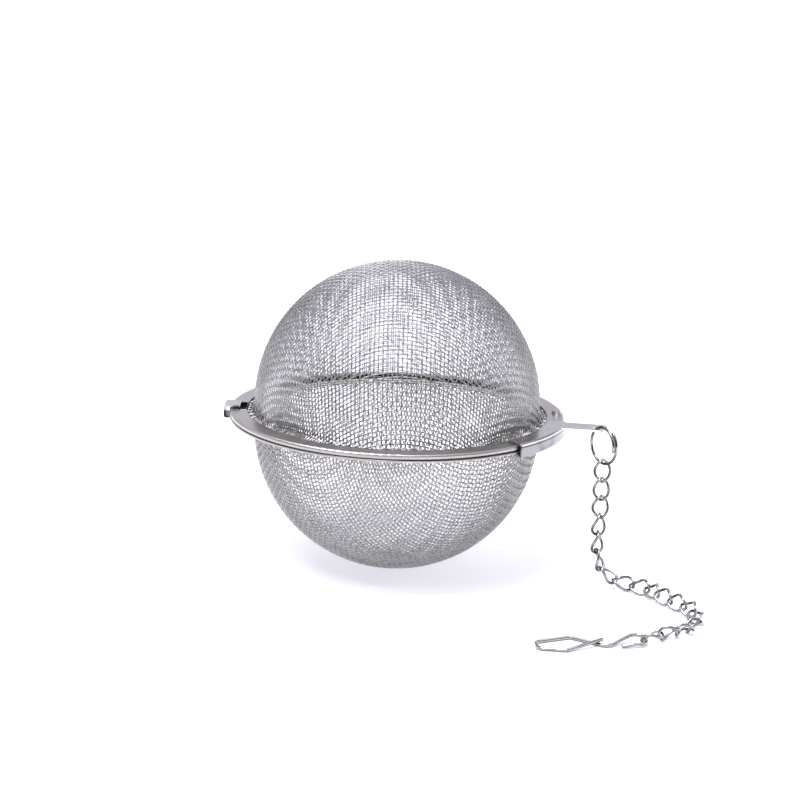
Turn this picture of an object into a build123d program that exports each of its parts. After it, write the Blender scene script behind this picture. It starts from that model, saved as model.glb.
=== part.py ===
from build123d import *
from math import cos, pi, radians, sin, sqrt
import os

os.makedirs("parts", exist_ok=True)

# Mesh ball tea infuser, millimetres. Z is up. The origin is the centre of the small flat
# the lower bowl stands on. The hinge is at -X, the latch and its arm at +X, and the
# front of the ball faces -Y.

# ---- driving dimensions ----
PART_Z = 32.1  # height of the plane where the two halves meet
BALL_R = 29.9  # outer radius of the mesh domes
DOME_SHIFT = 2.6  # each dome's sphere centre lies this far from the parting plane
MESH_T = 0.45  # thickness of the woven mesh
FOOT_T = 0.25  # the mesh pressed flat inside the rims
FLARE_R = 1.3  # bend from the dome wall into the flat foot
RIM_IN = 31.4  # inner radius of the upper rim's top plate
LIP_IN = 30.5  # inner radius of the plates that face the parting plane
RIM_OUT = 35.0  # outer radius of both rims, 70 mm across
UPPER_FOOT_R = 34.0
LOWER_FOOT_R = 32.6
UPPER_RIM_Z = (0.10, 1.05)  # the folded upper rim, above the parting plane
HEM_GAP_Z = (0.45, 0.70)  # the slot in the fold that holds the mesh
HEM_GAP_R = 34.4
LOWER_RIM_Z = (-0.55, -0.10)  # the flat lower rim

WINDOW_X = (-33.95, -31.45)  # slot through both rims for the hinge loop
WINDOW_HALF = 3.15
FOOT_CUT_X = -31.4
FOOT_CUT_HALF = 3.3

HINGE_X = (-36.15, -32.72)  # outside faces of the hinge loop
HINGE_Z = (-1.00, 1.71)
HINGE_W = 4.6
SHEET_T = 0.4  # sheet of the hinge loop and the latch clip

CLIP_FROM = -48.5  # azimuth where the latch channel starts, degrees from +X
CLIP_ARC = 34.5
CLIP_WALL_R = 35.85
ARM_ROOT = (34.72, -11.54)
ARM_TURN = -9.7  # the arm points a little toward the front
ARM_BACK = 1.5  # how far the arm runs back into the channel's top
ARM_OUT = 7.85
ARM_W = 4.75
ARM_Z = (1.10, 1.50)
HOLE = (40.23, -13.20)
HOLE_D = 1.75

PIP_R = 33.6
PIP_SIZE = (2.3, 3.3)
PIP_H = 0.6

WIRE_D = 0.6  # chain and jump ring wire
RING_R = 3.78
RING_TOP_Z = PART_Z + 2.19
RING_TURN = -60.0  # the ring hangs in a vertical plane at this azimuth
RING_REACH = 2.30  # the ring's top lies this far in front of the hole
RING_PITCH = 0.75
RING_FROM = 96.0  # wire starts this far round from the top, on the outer side
RING_SWEEP = 419.0
RING_AT_HOLE = -35.0  # where the wire passes the hole, from the top

LINK_A = 2.3  # half length of a chain link along its wire centre
LINK_B = 1.55
LINK_LEAN = 45.0  # a curb link's ends lean this far either way
LINK_PLAY = 0.16  # free gap between the wires of neighbouring links
LINK_STEPS = 24

HOOK_D = 0.75  # wire of the cup hook
HOOK_TURN = 185.0  # direction from the chain's end to the hook's far tip


def axis_dir(azimuth):
    """Unit vector on the horizontal plane at an azimuth in degrees."""
    return Vector(cos(radians(azimuth)), sin(radians(azimuth)), 0)


# ---- the two domes of woven mesh ----
def dome_profile(side, foot_r, foot_face):
    """Half section of a dome: side +1 is the upper one. foot_face is the outer face of its
    flat foot, measured from the parting plane."""
    centre = PART_Z + side * DOME_SHIFT
    inner = BALL_R - MESH_T
    face = PART_Z + side * foot_face
    back = PART_Z + side * (foot_face - FOOT_T)
    inner_flare = FLARE_R + FOOT_T
    bend = face + side * FLARE_R
    slope = sqrt(0.5)
    Line((0, centre + side * inner), (0, centre + side * BALL_R))
    ThreePointArc(
        (0, centre + side * BALL_R),
        (BALL_R * slope, centre + side * BALL_R * slope),
        (BALL_R, centre),
    )
    Line((BALL_R, centre), (BALL_R, bend))
    ThreePointArc(
        (BALL_R, bend),
        (BALL_R + FLARE_R * (1 - slope), bend - side * FLARE_R * slope),
        (BALL_R + FLARE_R, face),
    )
    Line((BALL_R + FLARE_R, face), (foot_r, face))
    Line((foot_r, face), (foot_r, back))
    Line((foot_r, back), (inner + inner_flare, back))
    ThreePointArc(
        (inner + inner_flare, back),
        (inner + inner_flare * (1 - slope), bend - side * inner_flare * slope),
        (inner, bend),
    )
    Line((inner, bend), (inner, centre))
    ThreePointArc(
        (inner, centre),
        (inner * slope, centre + side * inner * slope),
        (0, centre + side * inner),
    )


def foot_cut():
    """Clear the mesh foot where the hinge loop passes."""
    with Locations((FOOT_CUT_X - 5, 0, PART_Z)):
        Box(10, 2 * FOOT_CUT_HALF, 2.4, mode=Mode.SUBTRACT)


with BuildPart() as upper_mesh:
    with BuildSketch(Plane.XZ):
        with BuildLine():
            dome_profile(1, UPPER_FOOT_R, HEM_GAP_Z[1])
        make_face()
    revolve(axis=Axis.Z)
    foot_cut()
upper_mesh.part.label = "upper_mesh"
export_step(upper_mesh.part, "parts/upper_mesh.step")

with BuildPart() as lower_mesh:
    with BuildSketch(Plane.XZ):
        with BuildLine():
            dome_profile(-1, LOWER_FOOT_R, -LOWER_RIM_Z[0] + FOOT_T)
        make_face()
    revolve(axis=Axis.Z)
    foot_cut()
    # the small flat at the bottom that the ball stands on
    with Locations((0, 0, -5)):
        Box(30, 30, 10, mode=Mode.SUBTRACT)
lower_mesh.part.label = "lower_mesh"
export_step(lower_mesh.part, "parts/lower_mesh.step")


# ---- the rims ----
def window_cut():
    """Slot for the hinge loop."""
    with Locations(((WINDOW_X[0] + WINDOW_X[1]) / 2, 0, PART_Z)):
        Box(WINDOW_X[1] - WINDOW_X[0], 2 * WINDOW_HALF, 4, mode=Mode.SUBTRACT)


with BuildPart() as upper_rim:
    # a flat ring folded over the edge of the mesh, its two plates joined at the outside
    with BuildSketch(Plane.XZ):
        with Locations((LIP_IN, PART_Z + UPPER_RIM_Z[0])):
            Rectangle(
                RIM_OUT - LIP_IN,
                HEM_GAP_Z[0] - UPPER_RIM_Z[0],
                align=(Align.MIN, Align.MIN),
            )
        with Locations((RIM_IN, PART_Z + UPPER_RIM_Z[0])):
            Rectangle(
                RIM_OUT - RIM_IN,
                UPPER_RIM_Z[1] - UPPER_RIM_Z[0],
                align=(Align.MIN, Align.MIN),
            )
        with Locations((RIM_IN, PART_Z + HEM_GAP_Z[0])):
            Rectangle(
                HEM_GAP_R - RIM_IN,
                HEM_GAP_Z[1] - HEM_GAP_Z[0],
                align=(Align.MIN, Align.MIN),
                mode=Mode.SUBTRACT,
            )
    revolve(axis=Axis.Z)
    # the outside of the fold is rounded, more at the top than underneath
    outer = upper_rim.edges().filter_by(GeomType.CIRCLE).group_by(SortBy.RADIUS)[-1]
    fillet(outer.sort_by(Axis.Z)[-1], 0.40)
    under = upper_rim.faces().sort_by(Axis.Z)[0].edges()
    fillet(under.sort_by(SortBy.RADIUS)[-1], 0.25)
    window_cut()
    # the raised pip beside the latch
    with BuildSketch(Plane.XY.offset(PART_Z + UPPER_RIM_Z[1])):
        with Locations((PIP_R, 0)):
            Ellipse(PIP_SIZE[0] / 2, PIP_SIZE[1] / 2)
    extrude(amount=PIP_H, taper=30)
upper_rim.part.label = "upper_rim"
export_step(upper_rim.part, "parts/upper_rim.step")

with BuildPart() as lower_rim:
    with BuildSketch(Plane.XY.offset(PART_Z + LOWER_RIM_Z[0])):
        Circle(RIM_OUT)
        Circle(LIP_IN, mode=Mode.SUBTRACT)
    extrude(amount=LOWER_RIM_Z[1] - LOWER_RIM_Z[0])
    outer = lower_rim.edges().filter_by(GeomType.CIRCLE).group_by(SortBy.RADIUS)[-1]
    fillet(outer, 0.18)
    window_cut()
lower_rim.part.label = "lower_rim"
export_step(lower_rim.part, "parts/lower_rim.step")


# ---- the hinge: one bent strip looped through both rims ----
with BuildPart() as hinge_link:
    width = HINGE_X[1] - HINGE_X[0]
    height = HINGE_Z[1] - HINGE_Z[0]
    middle = ((HINGE_X[0] + HINGE_X[1]) / 2, PART_Z + (HINGE_Z[0] + HINGE_Z[1]) / 2)
    with BuildSketch(Plane.XZ):
        with Locations(middle):
            RectangleRounded(width, height, 0.55)
            RectangleRounded(width - 2 * SHEET_T, height - 2 * SHEET_T, 0.15, mode=Mode.SUBTRACT)
    extrude(amount=HINGE_W / 2, both=True)
hinge_link.part.label = "hinge_link"
export_step(hinge_link.part, "parts/hinge_link.step")

# ---- the latch: a channel fixed under the lower rim, and its arm ----
with BuildPart() as latch_clip:
    start = axis_dir(CLIP_FROM)
    side = start.cross(Vector(0, 0, 1))
    wall_in = CLIP_WALL_R - SHEET_T
    with BuildSketch(Plane(origin=(0, 0, PART_Z), x_dir=start, z_dir=side)):
        with BuildLine():
            Polyline(
                (32.10, 1.49),
                (CLIP_WALL_R, 1.55),
                (CLIP_WALL_R, -1.50),
                (33.40, -0.95),
                (33.00, -0.95),
                (33.00, LOWER_RIM_Z[0]),
                (33.50, LOWER_RIM_Z[0]),
                (wall_in, -1.00),
                (wall_in, 1.143),
                (32.10, 1.09),
                close=True,
            )
        make_face()
    revolve(axis=Axis.Z, revolution_arc=CLIP_ARC)
    bends = latch_clip.edges().filter_by(GeomType.CIRCLE).group_by(SortBy.RADIUS)[-1]
    fillet(bends, 0.45)
    # the arm, with its eye for the ring
    arm = axis_dir(ARM_TURN)
    length = ARM_OUT + ARM_BACK
    middle = Vector(*ARM_ROOT, 0) + arm * ((ARM_OUT - ARM_BACK) / 2)
    with BuildSketch(Plane.XY.offset(PART_Z + ARM_Z[0])) as arm_outline:
        with Locations(Location((middle.X, middle.Y), ARM_TURN)):
            strip = Rectangle(length, ARM_W)
        tip = arm_outline.vertices().sort_by(Axis(origin=(0, 0, 0), direction=arm))[-2:]
        fillet(tip, 1.7)
        with Locations(HOLE):
            Circle(HOLE_D / 2, mode=Mode.SUBTRACT)
    extrude(amount=ARM_Z[1] - ARM_Z[0])
latch_clip.part.label = "latch_clip"
export_step(latch_clip.part, "parts/latch_clip.step")

# ---- the jump ring: one turn of wire and a bit, its ends side by side ----
with BuildPart() as jump_ring:
    out = axis_dir(RING_TURN)
    across = out.cross(Vector(0, 0, 1))
    top = Vector(*HOLE, RING_TOP_Z) + out * RING_REACH
    hub = top - Vector(0, 0, RING_R)
    turns = []
    for k in range(31):
        angle = RING_FROM - RING_SWEEP * k / 30
        drift = RING_PITCH * (angle - RING_AT_HOLE) / 360
        radial = out * sin(radians(angle)) + Vector(0, 0, 1) * cos(radians(angle))
        turns.append(hub + radial * RING_R + across * drift)
    with BuildLine():
        wire = Spline(*turns)
    with BuildSketch(Plane(origin=wire @ 0, z_dir=wire % 0)):
        Circle(WIRE_D / 2)
    sweep(path=wire)
jump_ring.part.label = "jump_ring"
export_step(jump_ring.part, "parts/jump_ring.step")

# ---- the chain: twisted curb links, all the same ----
with BuildPart() as curb_link:
    loop = []
    for k in range(LINK_STEPS):
        turn = 2 * pi * k / LINK_STEPS
        lean = radians(LINK_LEAN) * cos(turn)
        loop.append(
            Vector(
                LINK_A * cos(turn),
                LINK_B * sin(turn) * cos(lean),
                LINK_B * sin(turn) * sin(lean),
            )
        )
    for here, after in zip(loop, loop[1:] + loop[:1]):
        with Locations(Plane(origin=(here + after) / 2, z_dir=after - here).location):
            Cylinder(WIRE_D / 2, (after - here).length)
        with Locations(here):
            Sphere(WIRE_D / 2)

# each link's heading (degrees from +X toward the front), how steeply it falls, and its roll
CHAIN = [
    (95, 90, 0),
    (85, 87, 0),
    (92, 93, 0),
    (61.7, 92.9, 9.2),
    (40, 90.2, 1.7),
    (14, 75.1, -2.5),
    (9.3, 37.5, -14.8),
    (21.7, 7.7, -30.4),
    (41.6, -4.7, -47.3),
    (69, -5.6, -54.2),
    (58.7, 3.2, -63.9),
    (54.1, -3.1, -70.4),
    (70.5, 1.8, -50.1),
    (91.7, 4.4, -27.4),
    (123.9, 8.2, -19),
    (139.5, -10.8, -40.9),
    (157.1, 3.9, -53.4),
    (156.5, 6.4, -20.8),
]


def link_frame(heading, fall, roll):
    """Directions of a link: along it, and out of its flat side."""
    h, f, r = radians(heading), radians(fall), radians(roll)
    along = Vector(cos(f) * cos(h), -cos(f) * sin(h), -sin(f))
    face = Vector(sin(f) * cos(h), -sin(f) * sin(h), cos(f))
    width = face.cross(along)
    return along, face * cos(r) + width * sin(r)


# wire centre at the bottom of the ring
contact = top - Vector(0, 0, 2 * RING_R) - across * (RING_PITCH * (180 + RING_AT_HOLE) / 360)
before = Vector(0, 0, -1)
for number, (heading, fall, roll) in enumerate(CHAIN, 1):
    along, face = link_frame(heading, fall, roll)
    # the link's near end hooks round the wire of the one before
    lean_back = (before + along).normalized()
    near_end = contact - lean_back * (WIRE_D + LINK_PLAY)
    centre = near_end + along * LINK_A
    with BuildPart() as chain_link:
        with Locations(Plane(origin=centre, x_dir=along, z_dir=face).location):
            add(curb_link.part)
    chain_link.part.label = f"chain_link_{number:02d}"
    export_step(chain_link.part, f"parts/chain_link_{number:02d}.step")
    contact = centre + along * LINK_A
    before = along

# ---- the cup hook at the end of the chain, one bent wire ----
with BuildPart() as cup_hook:
    grip = (WIRE_D + HOOK_D) / 2 + LINK_PLAY
    eye = contact - before * grip
    along = axis_dir(HOOK_TURN)
    aside = along.cross(Vector(0, 0, 1))
    shape = [
        (8.5, -0.65, 1.38),
        (15.8, -3.4, 0.40),
        (21.0, -2.3, 0.40),
        (21.0, 0.9, 0.40),
        (13.9, 2.9, 0.40),
        (7.6, -2.0, 0.40),
        (2.4, 1.75, 1.20),
        (0.0, 1.75, 1.25),
        (0.0, -1.8, 0.70),
        (1.8, -1.8, 0.70),
        (4.9, -2.0, 0.50),
    ]
    bend_r = [0.8, 1.2, 1.2, 0.8, 2.2, 1.0, 1.5, 1.5, 0.3]
    route = []
    for u, v, z in shape:
        spot = eye + along * u + aside * v
        route.append(Vector(spot.X, spot.Y, z))
    with BuildLine() as hook_line:
        wire = FilletPolyline(*route, radius=bend_r)
    with BuildSketch(Plane(origin=wire @ 0, z_dir=wire % 0)):
        Circle(HOOK_D / 2)
    sweep(path=wire)
cup_hook.part.label = "cup_hook"
export_step(cup_hook.part, "parts/cup_hook.step")
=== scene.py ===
import math

import bpy
import numpy as np
from mathutils import Matrix, Vector


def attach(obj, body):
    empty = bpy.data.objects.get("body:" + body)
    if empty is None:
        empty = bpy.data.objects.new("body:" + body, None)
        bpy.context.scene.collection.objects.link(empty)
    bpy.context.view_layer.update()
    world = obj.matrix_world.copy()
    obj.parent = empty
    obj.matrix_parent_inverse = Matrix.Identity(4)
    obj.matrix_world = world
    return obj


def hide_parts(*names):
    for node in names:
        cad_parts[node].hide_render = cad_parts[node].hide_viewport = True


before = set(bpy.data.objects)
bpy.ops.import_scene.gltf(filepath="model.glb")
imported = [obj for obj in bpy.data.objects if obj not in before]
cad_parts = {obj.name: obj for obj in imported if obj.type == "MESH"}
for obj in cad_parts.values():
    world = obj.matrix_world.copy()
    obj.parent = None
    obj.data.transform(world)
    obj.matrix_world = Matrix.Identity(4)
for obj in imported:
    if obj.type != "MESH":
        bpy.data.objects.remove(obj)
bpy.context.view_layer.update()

MM = 0.001  # shapes are in millimetres until they become a mesh, the rest is in metres

# ---- dimensions shared with the CAD ----
PART_Z = 32.1
MESH_R = 29.67  # middle of the woven wall
WIRE_R = 0.126  # mesh wire
WEAVE = 0.098  # how far a mesh wire rises and falls
PITCH = 0.93
HINGE_CUT_X, HINGE_CUT_HALF = -31.7, 3.1
LINK_A, LINK_B, LINK_D, LINK_PLAY = 2.3, 1.55, 0.6, 0.16
LINK_LEAN = math.radians(45)
HOLE = Vector((40.23, -13.20, 0))
RING_R, RING_TOP_Z, RING_TURN, RING_REACH = 3.78, PART_Z + 2.19, -60.0, 2.30
RING_PITCH, RING_FROM, RING_SWEEP, RING_AT_HOLE = 0.75, 96.0, 419.0, -35.0
HOOK_D, HOOK_TURN = 0.75, 185.0

# ---- the weave ----
FLARE_MID = 1.42  # bend radius of the wall into the foot, along the middle of the mesh
UPPER_FOOT = 0.575  # distance of each mesh's flat foot from the parting plane, at its middle
LOWER_FOOT = 0.675
HALF_WIRES = 62  # wires laid out to each side of the pole
CRUMPLE_OVER = 1.2  # the wires crumple over this length at the start of the flare
CRUMPLE_END = 2.6  # and lie smoother again after this one
FOOT_FROM, FOOT_OVER = 1.6, 0.8  # where along the flare the lower mesh starts to be pressed
FLATTENED = 0.36  # share of the weave's rise that pressing takes away
THICKENED = 0.28  # how much stouter the upper mesh's wires are where they crumple
JITTER, CRUMPLED_JITTER = 0.018, 0.03
FLOOR_GAP = 0.004
LEAST_SPARE, LEAST_RISE = 0.05, 0.02  # a wire's end is carried on when there is more than this
MOST_STEPS = 2.0  # and it turns by no more than this many of its own steps
MESH_SIDES = 6

# ---- the round wires ----
TUBE_FIT = 0.985  # keeps each tube just inside its CAD solid
TUBE_SIDES, HOOK_SIDES = 16, 18
RING_STEPS = 120
LOOP_STEPS = 64
FACE_BIAS = 1.4  # turns a link's section towards the link's face

UP = Vector((0, 0, 1))

# ---- mesh helpers ----
TIP_LENGTH, TIP_WIDTH = 0.55, 0.62  # of the dome on an open tube's end, in radii


def make_object(name, verts, faces, material, smooth=True):
    """A mesh object from millimetre vertices (n, 3) and faces, a list or an (n, 4) array."""
    mesh = bpy.data.meshes.new(name)
    verts = np.asarray(verts, float) * MM
    if isinstance(faces, np.ndarray):
        count = len(faces)
        mesh.vertices.add(len(verts))
        mesh.vertices.foreach_set("co", verts.ravel())
        mesh.loops.add(count * faces.shape[1])
        mesh.loops.foreach_set("vertex_index", faces.ravel().astype(np.int32))
        mesh.polygons.add(count)
        mesh.polygons.foreach_set("loop_start", np.arange(count, dtype=np.int32) * faces.shape[1])
        mesh.update(calc_edges=True)
    else:
        mesh.from_pydata([tuple(v) for v in verts], [], faces)
    mesh.validate()
    mesh.polygons.foreach_set("use_smooth", [smooth] * len(mesh.polygons))
    mesh.materials.append(material)
    obj = bpy.data.objects.new(name, mesh)
    bpy.context.scene.collection.objects.link(obj)
    return obj


def unit(v):
    return v / np.maximum(np.linalg.norm(v, axis=-1, keepdims=True), 1e-12)


def tube_arrays(path, normals, radius, sides, closed=False):
    """Vertices and quads of a tube along a path, with a reference normal at each point. An open
    tube draws in at its ends like a small dome."""
    path = np.asarray(path, float)
    if closed:
        tangent = unit(np.roll(path, -1, 0) - np.roll(path, 1, 0))
    else:
        tangent = unit(np.gradient(path, axis=0))
    across = unit(np.cross(tangent, normals))
    up = np.cross(across, tangent)
    radius = np.broadcast_to(np.asarray(radius, float), (len(path),))
    turn = np.arange(sides) * 2 * np.pi / sides
    ring = np.cos(turn)[None, :, None] * across[:, None] + np.sin(turn)[None, :, None] * up[:, None]
    verts = path[:, None] + ring * radius[:, None, None]
    if not closed:
        tips = []
        for end, way in ((0, -1), (-1, 1)):
            centre = path[end] + tangent[end] * way * radius[end] * TIP_LENGTH
            tips.append(centre + ring[end] * radius[end] * TIP_WIDTH)
        verts = np.concatenate([tips[0][None], verts, tips[1][None]])
    n = len(verts)
    verts = verts.reshape(-1, 3)
    a = np.arange(n if closed else n - 1)[:, None] * sides
    b = (np.arange(n if closed else n - 1)[:, None] + 1) % n * sides
    k = np.arange(sides)[None]
    k2 = (k + 1) % sides
    quads = np.stack([a + k, a + k2, b + k2, b + k], -1).reshape(-1, 4)
    return verts, quads, n


def tube_object(name, path, normals, radius, sides, material, closed=False):
    """A tube as an object, with a face over each end of an open one."""
    verts, quads, n = tube_arrays(path, normals, radius, sides, closed)
    faces = [tuple(int(i) for i in q) for q in quads]
    if not closed:
        faces.append(tuple(range(sides))[::-1])
        faces.append(tuple(range((n - 1) * sides, n * sides)))
    return make_object(name, verts, faces, material)


# ---- materials ----
MARK_DEPTH = 0.00002  # metres


def node(tree, kind, **settings):
    made = tree.nodes.new(kind)
    for key, value in settings.items():
        setattr(made, key, value)
    return made


def steel(name, dark, light, rough, noise_scale, bump=0.1, bump_scale=900.0, rings=False):
    """Polished stainless steel with cloudy variation in colour and gloss and fine surface marks.
    rings turns the marks into fine circles round the ball's axis."""
    material = bpy.data.materials.new(name)
    material.use_nodes = True
    tree = material.node_tree
    shader = tree.nodes["Principled BSDF"]
    shader.inputs["Metallic"].default_value = 1.0
    link = tree.links.new
    where = node(tree, "ShaderNodeTexCoord")
    cloud = node(tree, "ShaderNodeTexNoise")
    cloud.inputs["Scale"].default_value = noise_scale
    cloud.inputs["Detail"].default_value = 4.0
    link(where.outputs["Object"], cloud.inputs["Vector"])
    tone = node(tree, "ShaderNodeValToRGB")
    tone.color_ramp.elements[0].position = 0.32
    tone.color_ramp.elements[0].color = (*dark, 1)
    tone.color_ramp.elements[1].position = 0.68
    tone.color_ramp.elements[1].color = (*light, 1)
    link(cloud.outputs["Fac"], tone.inputs["Fac"])
    link(tone.outputs["Color"], shader.inputs["Base Color"])
    marks = node(tree, "ShaderNodeTexNoise")
    marks.inputs["Detail"].default_value = 3.0
    if rings:
        split = node(tree, "ShaderNodeSeparateXYZ")
        link(where.outputs["Object"], split.inputs["Vector"])
        flat = node(tree, "ShaderNodeCombineXYZ")
        link(split.outputs["X"], flat.inputs["X"])
        link(split.outputs["Y"], flat.inputs["Y"])
        length = node(tree, "ShaderNodeVectorMath", operation="LENGTH")
        link(flat.outputs["Vector"], length.inputs[0])
        track = node(tree, "ShaderNodeCombineXYZ")
        link(length.outputs["Value"], track.inputs["X"])
        link(split.outputs["Z"], track.inputs["Y"])
        link(track.outputs["Vector"], marks.inputs["Vector"])
    else:
        link(where.outputs["Object"], marks.inputs["Vector"])
    marks.inputs["Scale"].default_value = bump_scale
    gloss = node(tree, "ShaderNodeMapRange")
    gloss.inputs["From Min"].default_value = 0.25
    gloss.inputs["From Max"].default_value = 0.75
    gloss.inputs["To Min"].default_value = rough[0]
    gloss.inputs["To Max"].default_value = rough[1]
    link(marks.outputs["Fac"], gloss.inputs["Value"])
    link(gloss.outputs["Result"], shader.inputs["Roughness"])
    relief = node(tree, "ShaderNodeBump")
    relief.inputs["Strength"].default_value = bump
    relief.inputs["Distance"].default_value = MARK_DEPTH
    link(marks.outputs["Fac"], relief.inputs["Height"])
    link(relief.outputs["Normal"], shader.inputs["Normal"])
    return material


SHEET_MARKS = {"noise_scale": 90.0, "bump": 0.12, "bump_scale": 2600.0}
SATIN = (0.28, 0.40)  # lowest and highest roughness
BRIGHT = (0.16, 0.28)
MIRROR = (0.06, 0.18)
MESH_STEEL = steel(
    "woven_wire", (0.32, 0.314, 0.302), (0.43, 0.424, 0.406), (0.20, 0.34), 260.0, bump=0.05
)
SHEET = steel(
    "rim_sheet", (0.40, 0.375, 0.352), (0.48, 0.45, 0.425), SATIN, rings=True, **SHEET_MARKS
)
CLIP = steel("clip_sheet", (0.42, 0.415, 0.40), (0.48, 0.475, 0.455), BRIGHT, **SHEET_MARKS)
HINGE = steel("hinge_sheet", (0.40, 0.395, 0.38), (0.46, 0.455, 0.44), BRIGHT, **SHEET_MARKS)
CHAIN = steel("chain_wire", (0.32, 0.318, 0.30), (0.54, 0.537, 0.51), MIRROR, 500.0, bump=0.2)
WIRE = steel("polished_wire", (0.42, 0.418, 0.397), (0.62, 0.617, 0.59), MIRROR, 400.0, bump=0.2)
RING = steel("ring_wire", (0.24, 0.235, 0.22), (0.42, 0.41, 0.39), MIRROR, 400.0, bump=0.2)


class Spots:
    """Where a point of a material lies, as sockets: x, y without its sign, the height z above the
    parting plane and the distance r from the ball's axis, all in metres; how far the surface
    faces up, sideways, and outward from the ball's centre; and masks made from them."""

    def __init__(self, material):
        self.tree = material.node_tree
        self.shader = self.tree.nodes["Principled BSDF"]
        where = node(self.tree, "ShaderNodeTexCoord")
        split = self.split(where.outputs["Object"])
        self.x = split.outputs["X"]
        self.y = self.calc("ABSOLUTE", split.outputs["Y"])
        self.z = self.calc("SUBTRACT", split.outputs["Z"], PART_Z * MM)
        across = self.calc("POWER", split.outputs["Y"], 2.0)
        self.r = self.calc("SQRT", self.calc("ADD", self.calc("POWER", self.x, 2.0), across))
        facing = self.split(where.outputs["Normal"])
        self.up = facing.outputs["Z"]
        self.sideways = self.calc("ABSOLUTE", facing.outputs["X"])
        centre = node(self.tree, "ShaderNodeVectorMath", operation="SUBTRACT")
        self.tree.links.new(where.outputs["Object"], centre.inputs[0])
        centre.inputs[1].default_value = (0, 0, PART_Z * MM)
        away = node(self.tree, "ShaderNodeVectorMath", operation="NORMALIZE")
        self.tree.links.new(centre.outputs["Vector"], away.inputs[0])
        dot = node(self.tree, "ShaderNodeVectorMath", operation="DOT_PRODUCT")
        self.tree.links.new(away.outputs["Vector"], dot.inputs[0])
        self.tree.links.new(where.outputs["Normal"], dot.inputs[1])
        self.outward = dot.outputs["Value"]

    def split(self, vector):
        made = node(self.tree, "ShaderNodeSeparateXYZ")
        self.tree.links.new(vector, made.inputs["Vector"])
        return made

    def calc(self, operation, *values):
        made = node(self.tree, "ShaderNodeMath", operation=operation)
        for socket, value in zip(made.inputs, values):
            if isinstance(value, float):
                socket.default_value = value
            else:
                self.tree.links.new(value, socket)
        return made.outputs["Value"]

    def above(self, value, low, high):
        """0 below low and 1 above high."""
        made = node(self.tree, "ShaderNodeMapRange", interpolation_type="SMOOTHSTEP")
        made.inputs["From Min"].default_value = low
        made.inputs["From Max"].default_value = high
        self.tree.links.new(value, made.inputs["Value"])
        return made.outputs["Result"]

    def below(self, value, low, high):
        return self.calc("SUBTRACT", 1.0, self.above(value, low, high))

    def both(self, *masks):
        made = masks[0]
        for mask in masks[1:]:
            made = self.calc("MULTIPLY", made, mask)
        return made

    def paint(self, mask, colour, strength=1.0):
        """Blend the base colour towards another where the mask is 1."""
        mix = node(self.tree, "ShaderNodeMix", data_type="RGBA")
        self.tree.links.new(self.calc("MULTIPLY", mask, strength), mix.inputs[0])
        self.tree.links.new(self.shader.inputs["Base Color"].links[0].from_socket, mix.inputs[6])
        mix.inputs[7].default_value = (*colour, 1)
        self.tree.links.new(mix.outputs[2], self.shader.inputs["Base Color"])


# colours of the painted zones, which are painted light and shade: highlights and shade on the mesh,
# rims, clip, hinge and round wires
MESH_INSIDE_PAINTED_LIGHT = (0.585, 0.585, 0.60)
MESH_GAP_SHADE = (0.012, 0.011, 0.010)
MESH_CROWN_HIGHLIGHT = (0.66, 0.63, 0.56)
RIM_LIP_HIGHLIGHT = (0.86, 0.81, 0.73)
CREVICE_SHADE = (0.015, 0.014, 0.013)
CLIP_WALL_SHADE = (0.33, 0.325, 0.335)
CLIP_SHADE_LINE = (0.12, 0.115, 0.11)
CLIP_BEND_HIGHLIGHT = (0.80, 0.78, 0.74)
HINGE_END_SHADE = (0.03, 0.028, 0.026)
WIRE_FLANK_SHADE = (0.09, 0.088, 0.084)
WIRE_TOP_SHADE = (0.13, 0.128, 0.122)
WIRE_UNDER_SHADE = (0.05, 0.048, 0.045)
UNDER_SHADE_STRENGTH = 0.92

# painted light: the side of the mesh turned into the ball is painted brighter than its outside
spots = Spots(MESH_STEEL)
spots.paint(spots.below(spots.outward, -0.25, 0.25), MESH_INSIDE_PAINTED_LIGHT)
# where the upper mesh bends out into its rim the wire crowns get a painted highlight and the rest
# painted shade
zone = spots.both(
    spots.above(spots.z, 0.1 * MM, 0.2 * MM),
    spots.below(spots.z, (UPPER_FOOT + 1.0) * MM, (UPPER_FOOT + 1.9) * MM),
)
bend_r = spots.calc("POWER", spots.calc("SUBTRACT", spots.r, (MESH_R + FLARE_MID) * MM), 2.0)
bend_z = spots.calc("POWER", spots.calc("SUBTRACT", spots.z, (UPPER_FOOT + FLARE_MID) * MM), 2.0)
from_bend = spots.calc("SQRT", spots.calc("ADD", bend_r, bend_z))
crown = spots.calc("SUBTRACT", FLARE_MID * MM, from_bend)
spots.paint(spots.both(zone, spots.below(crown, 0.02 * MM, 0.17 * MM)), MESH_GAP_SHADE)
spots.paint(spots.both(zone, spots.above(crown, 0.15 * MM, 0.21 * MM)), MESH_CROWN_HIGHLIGHT)

# the plates' inner edges get a painted highlight, and painted shade in the crevice where the mesh
# leaves them
spots = Spots(SHEET)
inner = spots.below(spots.r, 31.42 * MM, 31.48 * MM)
height = spots.calc("ABSOLUTE", spots.z)
spots.paint(spots.both(inner, spots.below(height, 0.40 * MM, 0.44 * MM)), RIM_LIP_HIGHLIGHT)
spots.paint(spots.both(inner, spots.above(height, 0.42 * MM, 0.45 * MM)), CREVICE_SHADE)
# the upright edges of the hinge's window get the same painted shade
slot = spots.both(
    spots.below(spots.x, -31.44 * MM, -31.40 * MM),
    spots.below(spots.y, 3.18 * MM, 3.22 * MM),
    spots.below(spots.calc("ABSOLUTE", spots.up), 0.2, 0.4),
    spots.below(spots.r, 34.3 * MM, 34.35 * MM),
)
spots.paint(slot, CREVICE_SHADE)

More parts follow.
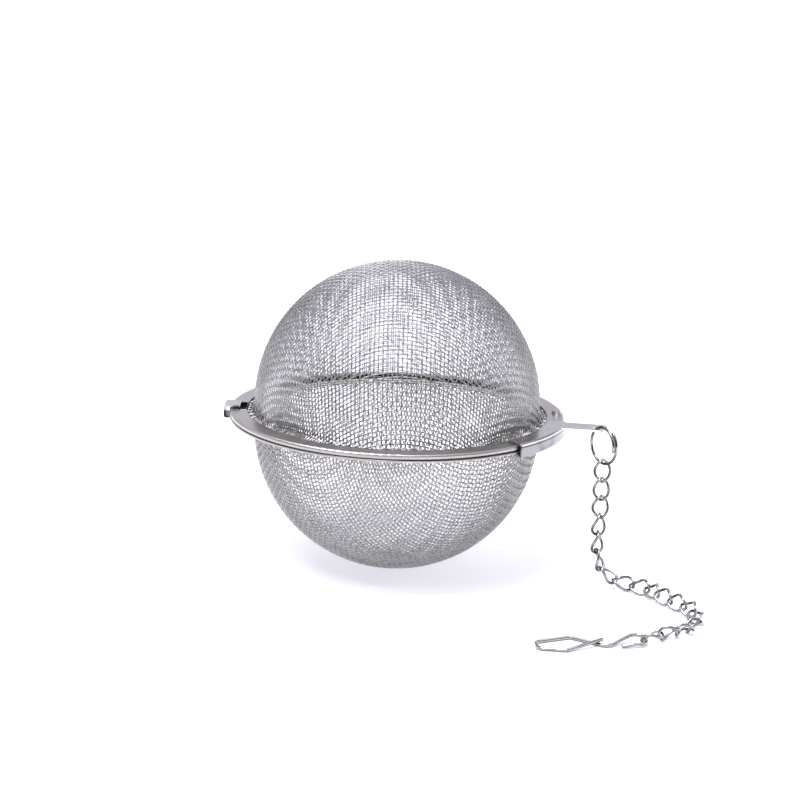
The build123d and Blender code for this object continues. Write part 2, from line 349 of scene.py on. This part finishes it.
# the latch channel's wall gets painted shade, with a painted highlight on the bend and a line of
# painted shade beneath it; it is plainer below
spots = Spots(CLIP)
wall = spots.both(spots.above(spots.r, 35.25 * MM, 35.4 * MM), spots.below(spots.up, 0.35, 0.75))
spots.paint(wall, CLIP_WALL_SHADE)
spots.paint(spots.both(wall, spots.above(spots.z, 0.55 * MM, 0.70 * MM)), CLIP_SHADE_LINE)
spots.paint(spots.both(wall, spots.above(spots.z, 0.95 * MM, 1.10 * MM)), CLIP_BEND_HIGHLIGHT)

# the outer end of the hinge loop gets painted shade below its top
spots = Spots(HINGE)
end = spots.both(
    spots.below(spots.x, -35.1 * MM, -34.8 * MM),
    spots.below(spots.z, 0.4 * MM, 0.9 * MM),
)
spots.paint(end, HINGE_END_SHADE)

# round wires get painted shade on their flanks, tops and undersides, which leaves a bright streak
# between
for material, flank_shade in ((CHAIN, 0.6), (WIRE, 0.2), (RING, 0.6)):
    spots = Spots(material)
    spots.paint(spots.above(spots.sideways, 0.65, 0.98), WIRE_FLANK_SHADE, flank_shade)
    spots.paint(spots.above(spots.up, 0.75, 1.0), WIRE_TOP_SHADE, flank_shade)
    spots.paint(spots.below(spots.up, -0.60, 0.15), WIRE_UNDER_SHADE, UNDER_SHADE_STRENGTH)


# ---- woven domes ----
def sphere_net(radius, pitch, n):
    """Where the wires of a square cloth cross when it is drawn over a sphere: every crossing lies
    one pitch from its neighbours. Two wires cross at the pole and follow great circles."""
    quarter = np.full((n + 1, n + 1, 3), np.nan)
    step = pitch / radius
    for i in range(n + 1):
        quarter[i, 0] = (math.sin(step * i), 0, math.cos(step * i))
        quarter[0, i] = (0, math.sin(step * i), math.cos(step * i))
    for total in range(2, 2 * n + 1):
        i = np.arange(max(1, total - n), min(n, total - 1) + 1)
        j = total - i
        plane = unit(np.cross(quarter[i - 1, j], quarter[i, j - 1]))
        back = quarter[i - 1, j - 1]
        quarter[i, j] = back - 2 * (back * plane).sum(1, keepdims=True) * plane
    whole = np.zeros((2 * n + 1, 2 * n + 1, 3))
    for si in (1, -1):
        for sj in (1, -1):
            for i in range(n + 1):
                whole[n + si * i, n + sj * np.arange(n + 1)] = quarter[i] * (si, sj, 1)
    return whole


def wall_profile(arc, straight):
    """Radius, height above the foot, and outward normal of the drawn wall at an arc length from the
    pole. straight is the upright wall between dome and flare."""
    arc = np.asarray(arc, float)
    quarter = MESH_R * np.pi / 2
    bend = FLARE_MID * np.pi / 2
    r = np.zeros_like(arc)
    z = np.zeros_like(arc)
    nr = np.zeros_like(arc)
    nz = np.zeros_like(arc)
    dome = arc < quarter
    a = arc / MESH_R
    top = straight + FLARE_MID
    r[dome], z[dome] = (MESH_R * np.sin(a))[dome], (top + MESH_R * np.cos(a))[dome]
    nr[dome], nz[dome] = np.sin(a)[dome], np.cos(a)[dome]
    wall = (arc >= quarter) & (arc < quarter + straight)
    r[wall], z[wall], nr[wall] = MESH_R, (top - (arc - quarter))[wall], 1
    flare = (arc >= quarter + straight) & (arc < quarter + straight + bend)
    t = (arc - quarter - straight) / FLARE_MID
    r[flare] = (MESH_R + FLARE_MID * (1 - np.cos(t)))[flare]
    z[flare] = (FLARE_MID * (1 - np.sin(t)))[flare]
    nr[flare], nz[flare] = np.cos(t)[flare], np.sin(t)[flare]
    foot = arc >= quarter + straight + bend
    r[foot] = (MESH_R + FLARE_MID + arc - quarter - straight - bend)[foot]
    nz[foot] = 1
    return r, z, nr, nz


def span_inside(inside):
    """The first and last crossing of the run through the middle that stays inside the cut edge."""
    middle = len(inside) // 2
    low = middle
    while low > 0 and inside[low - 1]:
        low -= 1
    high = middle
    while high < len(inside) - 1 and inside[high + 1]:
        high += 1
    return low, high


def run_to_edge(arc, spin, wave, arc_end):
    """Carry both ends of a wire on to the cut edge of the foot."""
    for end, nearby in ((0, 1), (-1, -2)):
        spare = arc_end - arc[end]
        rise = arc[end] - arc[nearby]
        if spare <= LEAST_SPARE or rise <= LEAST_RISE:
            continue
        more_spin = spin[end] + (spin[end] - spin[nearby]) * min(spare / rise, MOST_STEPS)
        if end == 0:
            arc, spin, wave = np.r_[arc_end, arc], np.r_[more_spin, spin], np.r_[0.0, wave]
        else:
            arc, spin, wave = np.r_[arc, arc_end], np.r_[spin, more_spin], np.r_[wave, 0.0]
    return arc, spin, wave


def woven_dome(name, side, foot_z, straight, reach, turn, body, cad_node, seed):
    """Both wire families of one half. side is +1 for the upper dome and -1 for the lower, foot_z the
    middle of its flat foot, straight its upright wall, reach the outer radius of the foot, and turn
    the cloth's direction in degrees."""
    net = sphere_net(MESH_R, PITCH, HALF_WIRES)
    rng = np.random.default_rng(seed)
    flare_from = MESH_R * np.pi / 2 + straight
    arc_end = flare_from + FLARE_MID * np.pi / 2 + reach - MESH_R - FLARE_MID
    net_arc = np.arccos(np.clip(net[..., 2], -1, 1)) * MESH_R
    for family in ("warp", "weft"):
        verts, quads, base = [], [], 0
        for line in range(2 * HALF_WIRES + 1):
            crossings = net[:, line] if family == "warp" else net[line, :]
            arcs = net_arc[:, line] if family == "warp" else net_arc[line, :]
            inside = arcs <= arc_end
            low, high = span_inside(inside)
            if not inside[HALF_WIRES] or high - low < 3:
                continue
            # each crossing, and a point midway between two
            span = np.arange(low, high + 1)
            points = crossings[span]
            route = np.empty((2 * len(span) - 1, 3))
            route[0::2], route[1::2] = points, unit(points[1:] + points[:-1])
            # over one wire and under the next, the other way round in the other family
            wave = np.zeros(len(route))
            over_under = np.where((span + line) % 2 == 0, 1.0, -1.0)
            wave[0::2] = over_under * (1 if family == "warp" else -1)
            arc = np.arccos(np.clip(route[:, 2], -1, 1)) * MESH_R
            spin = np.arctan2(route[:, 1], route[:, 0]) + math.radians(turn)
            arc, spin, wave = run_to_edge(arc, spin, wave, arc_end)
            # the upper mesh is pressed from the start of its flare on, the lower near its foot
            crumple = np.clip((arc - flare_from) / CRUMPLE_OVER, 0, 1)
            in_foot = np.clip((arc - flare_from - FOOT_FROM) / FOOT_OVER, 0, 1)
            pressed = crumple if side > 0 else in_foot
            r, z, nr, nz = wall_profile(arc, straight)
            out = np.stack([nr * np.cos(spin), nr * np.sin(spin), side * nz], 1)
            spot = np.stack([r * np.cos(spin), r * np.sin(spin), foot_z + side * z], 1)
            drift = JITTER + CRUMPLED_JITTER * crumple * (arc < flare_from + CRUMPLE_END)
            # the bottom of the ball is flattened where it rests
            spot[:, 2] = np.maximum(spot[:, 2], WEAVE + WIRE_R + FLOOR_GAP)
            height = wave * WEAVE * (1 - FLATTENED * pressed) + rng.normal(0, 1, len(arc)) * drift
            spot = spot + out * height[:, None]
            spot[:, 2] = np.maximum(spot[:, 2], WIRE_R + FLOOR_GAP)
            gauge = WIRE_R * (1 + THICKENED * crumple * (side > 0))
            # the foot is trimmed back where the hinge loop passes
            kept = (spot[:, 0] > HINGE_CUT_X) | (np.abs(spot[:, 1]) > HINGE_CUT_HALF)
            for run in np.split(np.arange(len(kept)), np.flatnonzero(np.diff(kept)) + 1):
                if len(run) < 3 or not kept[run[0]]:
                    continue
                v, q, _ = tube_arrays(spot[run], out[run], gauge[run], MESH_SIDES)
                verts.append(v)
                quads.append(q + base)
                base += len(v)
        obj = make_object(f"{name}_{family}", np.concatenate(verts), np.concatenate(quads), MESH_STEEL)
        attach(obj, body)
    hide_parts(cad_node)


woven_dome(
    "upper_weave", 1, PART_Z + UPPER_FOOT, straight=0.605, reach=32.5, turn=0.0,
    body="upper_half", cad_node="upper_mesh", seed=3,
)
woven_dome(
    "lower_weave", -1, PART_Z - LOWER_FOOT, straight=0.505, reach=32.45, turn=35.0,
    body="lower_half", cad_node="lower_mesh", seed=4,
)

# ---- sheet pieces keep their CAD shape ----
SHEET_PIECES = {"upper_rim": SHEET, "lower_rim": SHEET, "latch_clip": CLIP, "hinge_link": HINGE}
for name, material in SHEET_PIECES.items():
    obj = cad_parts[name]
    obj.data.materials.clear()
    obj.data.materials.append(material)

# ---- jump ring ----
out = Vector((math.cos(math.radians(RING_TURN)), math.sin(math.radians(RING_TURN)), 0))
across = out.cross(UP)
top = HOLE + UP * RING_TOP_Z + out * RING_REACH
hub = top - UP * RING_R
ring_path = []
for k in range(RING_STEPS + 1):
    angle = RING_FROM - RING_SWEEP * k / RING_STEPS
    radial = out * math.sin(math.radians(angle)) + UP * math.cos(math.radians(angle))
    ring_path.append(hub + radial * RING_R + across * (RING_PITCH * (angle - RING_AT_HOLE) / 360))
ring_normals = np.tile(np.array(across), (RING_STEPS + 1, 1))
ring = tube_object("split_ring", ring_path, ring_normals, LINK_D / 2 * TUBE_FIT, TUBE_SIDES, RING)
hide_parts("jump_ring")
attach(ring, "jump_ring")

# ---- chain ----
# heading, fall and roll of each link in degrees
CHAIN_ROUTE = [
    (95, 90, 0), (85, 87, 0), (92, 93, 0), (61.7, 92.9, 9.2), (40, 90.2, 1.7), (14, 75.1, -2.5),
    (9.3, 37.5, -14.8), (21.7, 7.7, -30.4), (41.6, -4.7, -47.3), (69, -5.6, -54.2),
    (58.7, 3.2, -63.9), (54.1, -3.1, -70.4), (70.5, 1.8, -50.1), (91.7, 4.4, -27.4),
    (123.9, 8.2, -19), (139.5, -10.8, -40.9), (157.1, 3.9, -53.4), (156.5, 6.4, -20.8),
]


def link_frame(heading, fall, roll):
    """The directions along a link and out of its face."""
    h, f, r = (math.radians(x) for x in (heading, fall, roll))
    along = Vector((math.cos(f) * math.cos(h), -math.cos(f) * math.sin(h), -math.sin(f)))
    face = Vector((math.sin(f) * math.cos(h), -math.sin(f) * math.sin(h), math.cos(f)))
    width = face.cross(along)
    return along, face * math.cos(r) + width * math.sin(r)


# one link, an oval twisted a quarter turn from end to end
loop_turn = np.arange(LOOP_STEPS) * 2 * np.pi / LOOP_STEPS
loop_lean = LINK_LEAN * np.cos(loop_turn)
LOOP = np.stack(
    [
        LINK_A * np.cos(loop_turn),
        LINK_B * np.sin(loop_turn) * np.cos(loop_lean),
        LINK_B * np.sin(loop_turn) * np.sin(loop_lean),
    ],
    1,
)
contact = top - UP * 2 * RING_R - across * (RING_PITCH * (180 + RING_AT_HOLE) / 360)
before = -UP
for number, (heading, fall, roll) in enumerate(CHAIN_ROUTE, 1):
    along, face = link_frame(heading, fall, roll)
    lean_back = (before + along).normalized()
    near_end = contact - lean_back * (LINK_D + LINK_PLAY)
    centre = near_end + along * LINK_A
    width = face.cross(along)
    turn = np.array([along, width, face])
    path = np.array(centre) + LOOP @ turn
    outward = unit((LOOP * (1, FACE_BIAS, FACE_BIAS)) @ turn)
    link_name = f"curb_link_{number:02d}"
    obj = tube_object(link_name, path, outward, LINK_D / 2 * TUBE_FIT, TUBE_SIDES, CHAIN, closed=True)
    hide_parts(f"chain_link_{number:02d}")
    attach(obj, f"link_{number:02d}")
    contact = centre + along * LINK_A
    before = along

# ---- cup hook ----
# corners as distance along, distance aside, height and fillet radius
HOOK_SHAPE = [
    (8.5, -0.65, 1.38, 0), (15.8, -3.4, 0.40, 0.8), (21.0, -2.3, 0.40, 1.2), (21.0, 0.9, 0.40, 1.2),
    (13.9, 2.9, 0.40, 0.8), (7.6, -2.0, 0.40, 2.2), (2.4, 1.75, 1.20, 1.0), (0.0, 1.75, 1.25, 1.5),
    (0.0, -1.8, 0.70, 1.5), (1.8, -1.8, 0.70, 0.3), (4.9, -2.0, 0.50, 0),
]


def filleted(points, radii, step=0.12):
    """Points along straight runs joined by arcs."""
    points = [np.asarray(p, float) for p in points]
    path = [points[0]]
    for before_p, here, after_p, radius in zip(points, points[1:], points[2:], radii):
        back, on = unit(before_p - here), unit(after_p - here)
        half = math.acos(np.clip(back @ on, -1, 1)) / 2
        trim = radius / math.tan(half)
        centre_p = here + unit(back + on) * radius / math.sin(half)
        start, stop = here + back * trim - centre_p, here + on * trim - centre_p
        sweep = math.pi - 2 * half
        steps = max(3, int(sweep * radius / step) + 1)
        for t in np.linspace(0, 1, steps + 1):
            swung = start * math.sin((1 - t) * sweep) + stop * math.sin(t * sweep)
            path.append(centre_p + swung / math.sin(sweep))
    path.append(points[-1])
    return np.array(path)


grip = (LINK_D + HOOK_D) / 2 + LINK_PLAY
eye = contact - before * grip
along = Vector((math.cos(math.radians(HOOK_TURN)), math.sin(math.radians(HOOK_TURN)), 0))
aside = along.cross(UP)
corners = []
for u, v, z, _ in HOOK_SHAPE:
    spot = eye + along * u + aside * v
    corners.append((spot.x, spot.y, z))
hook_path = filleted(corners, [s[3] for s in HOOK_SHAPE[1:-1]])
hook_normals = np.tile(np.array(UP), (len(hook_path), 1))
hook = tube_object("hook_wire", hook_path, hook_normals, HOOK_D / 2 * TUBE_FIT, HOOK_SIDES, WIRE)
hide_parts("cup_hook")
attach(hook, "hook")

# ---- floor ----
floor_mat = bpy.data.materials.new("pale_floor")
floor_mat.use_nodes = True
tree = floor_mat.node_tree
shader = tree.nodes["Principled BSDF"]
grain = node(tree, "ShaderNodeTexNoise")
grain.inputs["Scale"].default_value = 30.0
tone = node(tree, "ShaderNodeValToRGB")
tone.color_ramp.elements[0].color = (0.91, 0.92, 0.87, 1)
tone.color_ramp.elements[1].color = (0.95, 0.96, 0.91, 1)
tree.links.new(grain.outputs["Fac"], tone.inputs["Fac"])
tree.links.new(tone.outputs["Color"], shader.inputs["Base Color"])
shader.inputs["Roughness"].default_value = 0.9
shader.inputs["Specular IOR Level"].default_value = 0.1
shader.inputs["Emission Color"].default_value = (0.89, 0.88, 1.0, 1)
shader.inputs["Emission Strength"].default_value = 0.36  # a light table, so the shadow stays faint
FLOOR_HALF = 200000.0
floor_corners = [(x * FLOOR_HALF, y * FLOOR_HALF, 0) for x, y in ((-1, -1), (1, -1), (1, 1), (-1, 1))]
floor = make_object("floor", floor_corners, [(0, 1, 2, 3)], floor_mat, False)

# ---- light ----
# A studio tent: dark low in front, brighter overhead and behind, with soft patches all round.
TENT_TINT = (0.885, 0.875, 1.0)
TENT_STRENGTH = 1.75
world = bpy.data.worlds.new("studio")
bpy.context.scene.world = world
world.use_nodes = True
tree = world.node_tree
wlink = tree.links.new
where = node(tree, "ShaderNodeTexCoord")
split = node(tree, "ShaderNodeSeparateXYZ")
wlink(where.outputs["Generated"], split.inputs["Vector"])


def height_ramp(stops):
    """Brightness against the height of a direction, 0 at the horizon and 1 overhead."""
    ramp = node(tree, "ShaderNodeValToRGB")
    ramp.color_ramp.elements[0].position = stops[0][0]
    ramp.color_ramp.elements[1].position = stops[-1][0]
    for place, _ in stops[1:-1]:
        ramp.color_ramp.elements.new(place)
    for element, (_, value) in zip(ramp.color_ramp.elements, stops):
        element.color = (*(value * tint for tint in TENT_TINT), 1)
    wlink(split.outputs["Z"], ramp.inputs["Fac"])
    return ramp.outputs["Color"]


front_side = height_ramp([(0.0, 0.08), (0.42, 0.07), (0.58, 0.42), (0.8, 0.80)])
rear_side = height_ramp([(0.0, 0.90), (0.30, 1.0), (0.44, 0.25), (0.60, 0.40), (0.8, 0.90)])
facing = node(tree, "ShaderNodeMapRange", interpolation_type="SMOOTHSTEP")
facing.inputs["From Min"].default_value = -0.50
facing.inputs["From Max"].default_value = 0.10
wlink(split.outputs["Y"], facing.inputs["Value"])
blend = node(tree, "ShaderNodeMix", data_type="RGBA")
wlink(facing.outputs["Result"], blend.inputs[0])
wlink(front_side, blend.inputs[6])
wlink(rear_side, blend.inputs[7])
patches = node(tree, "ShaderNodeTexNoise")
patches.inputs["Scale"].default_value = 2.2
patches.inputs["Detail"].default_value = 1.0
wlink(where.outputs["Generated"], patches.inputs["Vector"])
shade = node(tree, "ShaderNodeMapRange")
shade.inputs["From Min"].default_value = 0.35
shade.inputs["From Max"].default_value = 0.60
shade.inputs["To Min"].default_value = 0.55
shade.inputs["To Max"].default_value = 1.15
wlink(patches.outputs["Fac"], shade.inputs["Value"])
tent = node(tree, "ShaderNodeVectorMath", operation="SCALE")
wlink(blend.outputs[2], tent.inputs[0])
wlink(shade.outputs["Result"], tent.inputs["Scale"])
wlink(tent.outputs["Vector"], tree.nodes["Background"].inputs["Color"])
tree.nodes["Background"].inputs["Strength"].default_value = TENT_STRENGTH

overhead = bpy.data.lights.new("overhead", "SUN")
overhead.energy = 2.2
overhead.angle = math.radians(34)
overhead.color = (0.90, 0.89, 1.0)
lamp = bpy.data.objects.new("overhead", overhead)
bpy.context.scene.collection.objects.link(lamp)
lamp.rotation_euler = (math.radians(16), math.radians(-12), 0)


# ---- camera ----
ELEVATION = math.radians(14.516)
SIDE = math.radians(1.70)
DISTANCE = 0.350
ROLL = math.radians(1.80)
camera_data = bpy.data.cameras.new("camera")
camera_data.sensor_width = 36.0
camera_data.lens = 74.95
camera_data.shift_x = 0.0039
camera_data.shift_y = 0.0178
camera_data.clip_start = 0.01
camera_data.clip_end = 2000.0
camera = bpy.data.objects.new("camera", camera_data)
bpy.context.scene.collection.objects.link(camera)
bpy.context.scene.camera = camera
level = math.cos(ELEVATION)
back = Vector((-math.sin(SIDE) * level, -math.cos(SIDE) * level, math.sin(ELEVATION)))
camera.location = Vector((0, 0, PART_Z * MM)) + back * DISTANCE
camera.rotation_mode = "QUATERNION"
upright = (-back).to_track_quat("-Z", "Y")
camera.rotation_quaternion = upright @ Matrix.Rotation(ROLL, 3, "Z").to_quaternion()
bpy.context.scene.view_settings.view_transform = "Standard"
